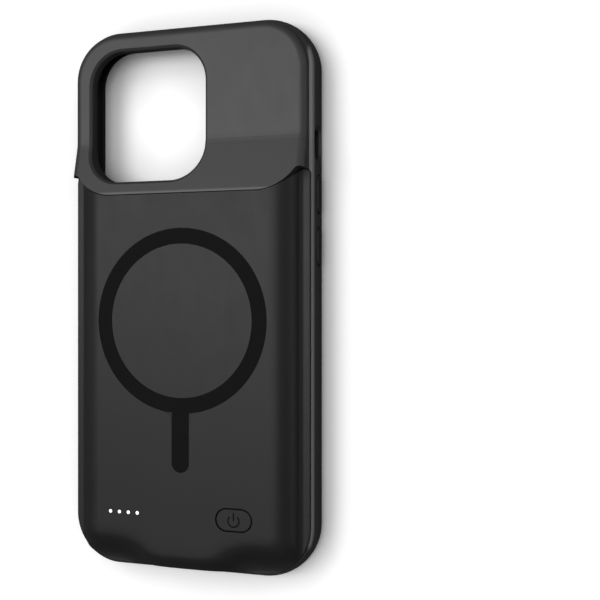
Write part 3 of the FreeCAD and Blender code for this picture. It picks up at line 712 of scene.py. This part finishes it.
@dataclass
class OuterShell:
    """Soft frame, hard pack cover and the ring on it."""

    frame_finish: MouldedPlastic = MouldedPlastic(
        "soft_frame",
        (0.056, 0.056, 0.0566),
        rough=0.46,
        grain=0.16 * MM,
        depth=0.010 * MM,
        tone=0.08,
        specular=0.44,
        edge=0.25 * MM,
        # Painted highlights: the side rail and the ramp's crest are painted lighter than the frame.
        painted_highlights=(
            (SideBand(36.6 * MM, 8.0 * MM, 10.5 * MM, 1.0 * MM), (0.30, 0.30, 0.30)),
            (CrestBand(30.7 * MM, 15.6 * MM, 0.9 * MM), (0.13, 0.13, 0.13)),
        ),
    )
    cover_finish: MouldedPlastic = MouldedPlastic(
        "pack_cover",
        (0.022, 0.022, 0.0223),
        rough=0.44,
        grain=0.14 * MM,
        depth=0.008 * MM,
        tone=0.08,
        specular=0.26,
        foot=SideBand(33.5 * MM, 8.0 * MM, 16.4 * MM, 1.0 * MM),
    )
    ring_finish: MattPrint = MattPrint("ring_print", (0.007, 0.007, 0.007))

    def dress(self) -> None:
        """Paint the three outer nodes."""
        paint("bumper_frame", self.frame_finish.make())
        paint("battery_cover", self.cover_finish.make())
        paint("ring_inlay", self.ring_finish.make())


@dataclass
class LampRow:
    """Row of four charge lamps in the cover.

    Attributes:
        pitch: distance between lamps, in metres.
        radius: radius of a lamp, in metres.
        bar: half width of the light guide's bar beyond the first lamp, in metres.
    """

    pitch: float = 2.97 * MM
    radius: float = 0.7 * MM
    bar: float = 1.3 * MM

    def dress(self) -> None:
        """Paint the light guide, whose place gives the lamps' places, and the chips below it."""
        low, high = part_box("light_guide")
        first = (low[0] + self.bar, 0.5 * (low[1] + high[1]))
        paint("light_guide", LitLamp("lamp_clear", first, self.pitch, self.radius, high[2]).make())
        paint("led_chips", FibreTape("lamp_chip", (0.85, 0.8, 0.45), (0.7, 0.66, 0.35)).make())


@dataclass
class PowerKey:
    """Power key with its sunk symbol: a bar in an open arc.

    Attributes:
        arc_radius: radius of the arc, in metres.
        open_angle: angle of the arc's gap, in radians.
        bar_length: length of the bar, in metres.
        stroke: width of the lines, in metres.
        rise: height of the lines' fill, in metres.
        finish: finish of the key.
        line: finish of the symbol.
    """

    arc_radius: float = 1.7 * MM
    open_angle: float = math.radians(88)
    bar_length: float = 2.5 * MM
    stroke: float = 0.42 * MM
    rise: float = 0.006 * MM
    finish: MouldedPlastic = MouldedPlastic(
        "power_key",
        (0.021, 0.021, 0.0213),
        rough=0.46,
        grain=0.14 * MM,
        depth=0.008 * MM,
        tone=0.08,
        specular=0.26,
        edge=0.15 * MM,
    )
    line: MattPrint = MattPrint("symbol_line", (0.003, 0.003, 0.003))

    def symbol(self, centre: Point) -> list[Grid]:
        """Grids of the arc and the bar.

        The arc's points are the centre plus its radius times (sin a, cos a), with a from half the gap round
        to half the gap on the other side. The bar stands in the gap.

        Args:
            centre: middle of the symbol on the key's face, in metres.

        Returns:
            Vertices and quads of the two strips.
        """
        middle = np.array(centre)
        turn = 2 * math.pi - self.open_angle
        places, arc_width = round_ends(turn * self.arc_radius, self.stroke, 73)
        angle = math.pi + places / self.arc_radius
        flat = np.zeros_like(angle)
        arc = middle + self.arc_radius * np.stack([np.sin(angle), np.cos(angle), flat], axis=1)
        places, bar_width = round_ends(self.bar_length, self.stroke)
        flat = np.zeros_like(places)
        bar = middle + np.stack([flat, self.arc_radius * 0.72 + places, flat], axis=1)
        return [strip_along(arc, arc_width, self.rise), strip_along(bar, bar_width, self.rise)]

    def dress(self) -> None:
        """Paint the key and lay the symbol on its face."""
        paint("power_button", self.finish.make())
        low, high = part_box("power_button")
        centre = (0.5 * (low[0] + high[0]), 0.5 * (low[1] + high[1]) - 0.2 * MM, high[2])
        piece = mesh_piece("power_symbol", self.symbol(centre), self.line.make())
        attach(piece, "power_key")
        log.info("laid %s", piece.name)


@dataclass
class SideKeys:
    """Keys in the side walls."""

    finish: MouldedPlastic = MouldedPlastic(
        "side_key",
        (0.036, 0.036, 0.0364),
        grain=0.14 * MM,
        depth=0.008 * MM,
        tone=0.08,
        specular=0.32,
        edge=0.15 * MM,
    )
    nodes: tuple[str, ...] = ("volume_up_button", "volume_down_button", "side_button")

    def dress(self) -> None:
        """Paint the keys with one material."""
        material = self.finish.make()
        for node in self.nodes:
            paint(node, material)


@dataclass
class InnerPieces:
    """Tray, cell, boards and magnets inside the pack."""

    finishes: dict[str, object] = field(default_factory=lambda: {
        "inner_tray": MouldedPlastic("tray_plastic", (0.036, 0.036, 0.037), 0.55, 0.22 * MM, 0.014 * MM),
        "battery_cell": Metal("cell_foil", (0.72, 0.72, 0.74), 0.34, (1.0, 0.3, 1.0), 0.3 * MM),
        "battery_tape": FibreTape("tape_paper", (0.86, 0.84, 0.76), (0.74, 0.71, 0.62)),
        "cell_tabs": Metal("tab_nickel", (0.72, 0.71, 0.68), 0.28),
        "main_board": PrintedBoard("board_mask", (0.012, 0.11, 0.05), (0.02, 0.2, 0.09)),
        "tact_switch": MouldedPlastic("switch_body", (0.02, 0.02, 0.02), 0.45),
        "controller_chip": MouldedPlastic("chip_body", (0.018, 0.018, 0.018), 0.4, 0.1 * MM),
        "inductor": MouldedPlastic("coil_body", (0.045, 0.045, 0.05), 0.6, 0.12 * MM, 0.03 * MM),
        "board_capacitors": FibreTape(
            "capacitor_body", (0.5, 0.36, 0.22), (0.36, 0.25, 0.15), (1.0, 1.0, 1.0)
        ),
        "dock_plug": Metal("plug_metal", (0.8, 0.8, 0.8), 0.22),
        "dock_board": PrintedBoard("dock_mask", (0.012, 0.11, 0.05), (0.02, 0.2, 0.09)),
        "charge_port": Metal("port_metal", (0.74, 0.74, 0.75), 0.26, (0.2, 1.0, 0.2)),
        "ribbon_cable": FlexFilm("flex_film", (0.5, 0.27, 0.05), (0.7, 0.42, 0.14)),
        "magnet_array": Metal("magnet_plate", (0.6, 0.6, 0.61), 0.3, (1.0, 1.0, 1.0)),
        "align_magnet": Metal("bar_plate", (0.6, 0.6, 0.61), 0.3, (1.0, 1.0, 1.0)),
    })

    def dress(self) -> None:
        """Paint each inner node with its own finish."""
        for node, finish in self.finishes.items():
            paint(node, finish.make())


@dataclass(frozen=True)
class Softbox:
    """One soft area light.

    Attributes:
        name: its name.
        place: its middle, in metres.
        size: its width and height, in metres.
        watts: its power.
        aim: the point that it faces, in metres.
    """

    name: str
    place: Point
    size: tuple[float, float]
    watts: float
    aim: Point = (0.0, 0.0, 0.0)

    def hang(self) -> None:
        """Add the light to the scene, with its height as upright as can be."""
        lamp = bpy.data.lights.new(self.name, "AREA")
        lamp.shape = "RECTANGLE"
        lamp.size, lamp.size_y = self.size
        lamp.energy = self.watts
        holder = bpy.data.objects.new(self.name, lamp)
        turn = (Vector(self.aim) - Vector(self.place)).to_track_quat("-Z", "Y").to_matrix().to_4x4()
        holder.matrix_world = Matrix.Translation(self.place) @ turn
        bpy.context.scene.collection.objects.link(holder)


@dataclass
class Studio:
    """Floor, lights and camera.

    Attributes:
        lights: the softboxes.
        sky: brightness of the surroundings.
        floor_tone: colour of the floor.
        floor_bounce: colour of the light that the floor throws back, as with black flags round a product.
        floor_glow: light that the floor gives off by itself, as a lit sweep does.
        floor_shade: reach of the soft shade round the object, in metres.
        floor_size: half width of the floor, in metres.
        eye: place of the camera, in metres.
        right: direction to the camera's right.
        back: direction from the object to the camera.
        lens: focal length on a 36 mm sensor, in millimetres.
    """

    lights: tuple[Softbox, ...] = (
        Softbox("front_box", (-0.42, 0.10, 0.95), (0.32, 0.50), 3.0),
        Softbox("ramp_box", (-0.40, 0.50, 0.90), (0.45, 0.35), 1.5),
        Softbox("foot_box", (-0.40, -0.50, 0.85), (0.35, 0.30), 0.65),
        Softbox("top_box", (0.12, 0.05, 1.20), (0.50, 0.60), 3.0),
        Softbox("right_fill", (0.75, 0.55, 0.75), (0.50, 0.50), 0.9),
        Softbox("left_strip", (-0.85, 0.0, 0.32), (0.12, 0.6), 0.15),
        Softbox("right_strip", (0.85, 0.05, 0.30), (0.12, 0.6), 0.2),
        Softbox("right_low", (1.00, 0.05, 0.08), (0.9, 0.06), 1.0, (0.0, 0.0, 0.01)),
        Softbox("end_strip", (0.0, -0.95, 0.35), (0.5, 0.15), 0.10),
    )
    sky: float = 0.015
    floor_tone: Colour = (0.9, 0.9, 0.9)
    floor_bounce: Colour = (0.1, 0.1, 0.1)
    floor_glow: float = 0.66
    floor_shade: float = 0.02
    floor_size: float = 3.0
    eye: Point = (140.44 * MM, -0.65 * MM, 301.88 * MM)
    right: Point = (0.94020, 0.0, -0.34064)
    back: Point = (0.34064, 0.0, 0.94020)
    lens: float = 65.27

    def lay_floor(self) -> None:
        """Lay a pale floor at z = 0, as a grid of squares, whose glow is darkened round the object as a
        painted shadow.
        """
        side = np.linspace(-self.floor_size, self.floor_size, 5)
        x, y = np.meshgrid(side, side, indexing="ij")
        points = np.stack([x, y, np.zeros_like(x)], axis=-1).reshape(-1, 3)
        recipe = Recipe("floor_sweep")
        slow = recipe.noise(0.4, 2.0)
        tone = tuple(0.985 * c for c in self.floor_tone)
        paper = recipe.blend(slow, tone, self.floor_tone)
        # Painted shadow: the floor's glow darkens where the object is near.
        near = recipe.node("ShaderNodeAmbientOcclusion", {}, {"Distance": self.floor_shade})
        bare = Shade(recipe, near.outputs["AO"]) ** 2.0
        recipe.set(
            Base_Color=paper,
            Roughness=0.85 + 0.05 * slow,
            Emission_Color=recipe.blend(bare, (0.05, 0.05, 0.05), paper),
            Emission_Strength=self.floor_glow,
        )
        seen = recipe.node("ShaderNodeLightPath").outputs["Is Camera Ray"]
        shaded = recipe.node("ShaderNodeBsdfDiffuse", {}, {"Color": self.floor_bounce})
        sockets = {0: seen, 1: shaded.outputs[0], 2: recipe.surface.outputs[0]}
        floor = recipe.node("ShaderNodeMixShader", {}, sockets)
        recipe.feed(recipe.output.inputs["Surface"], floor.outputs[0])
        mesh_piece("floor", [(points, grid_quads(5, 5))], recipe.material, Shading.FLAT)

    def hang_lights(self) -> None:
        """Hang the softboxes and set the sky."""
        for light in self.lights:
            light.hang()
        world = bpy.context.scene.world or bpy.data.worlds.new("surroundings")
        bpy.context.scene.world = world
        world.use_nodes = True
        background = world.node_tree.nodes["Background"]
        background.inputs["Color"].default_value = (1.0, 1.0, 1.0, 1.0)
        background.inputs["Strength"].default_value = self.sky

    def set_camera(self) -> None:
        """Put the camera where the picture was taken from."""
        data = bpy.data.cameras.new("camera")
        data.sensor_width = 36.0
        data.lens = self.lens
        data.clip_start = 0.01
        holder = bpy.data.objects.new("camera", data)
        right, back = Vector(self.right), Vector(self.back)
        turn = Matrix((right, back.cross(right), back)).transposed()
        holder.matrix_world = Matrix.Translation(self.eye) @ turn.to_4x4()
        bpy.context.scene.collection.objects.link(holder)
        bpy.context.scene.camera = holder
        bpy.context.scene.view_settings.view_transform = "Standard"

    def set_up(self) -> None:
        """Lay the floor, hang the lights and set the camera."""
        self.lay_floor()
        self.hang_lights()
        self.set_camera()


def main() -> None:
    """Dress the sub-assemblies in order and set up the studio."""
    logging.basicConfig(level=logging.INFO, format="%(name)s: %(message)s")
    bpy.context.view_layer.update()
    Studio().set_up()
    for assembly in (OuterShell(), LampRow(), PowerKey(), SideKeys(), InnerPieces()):
        assembly.dress()
        log.info("dressed %s", type(assembly).__name__)


if __name__ == "__main__":
    main()
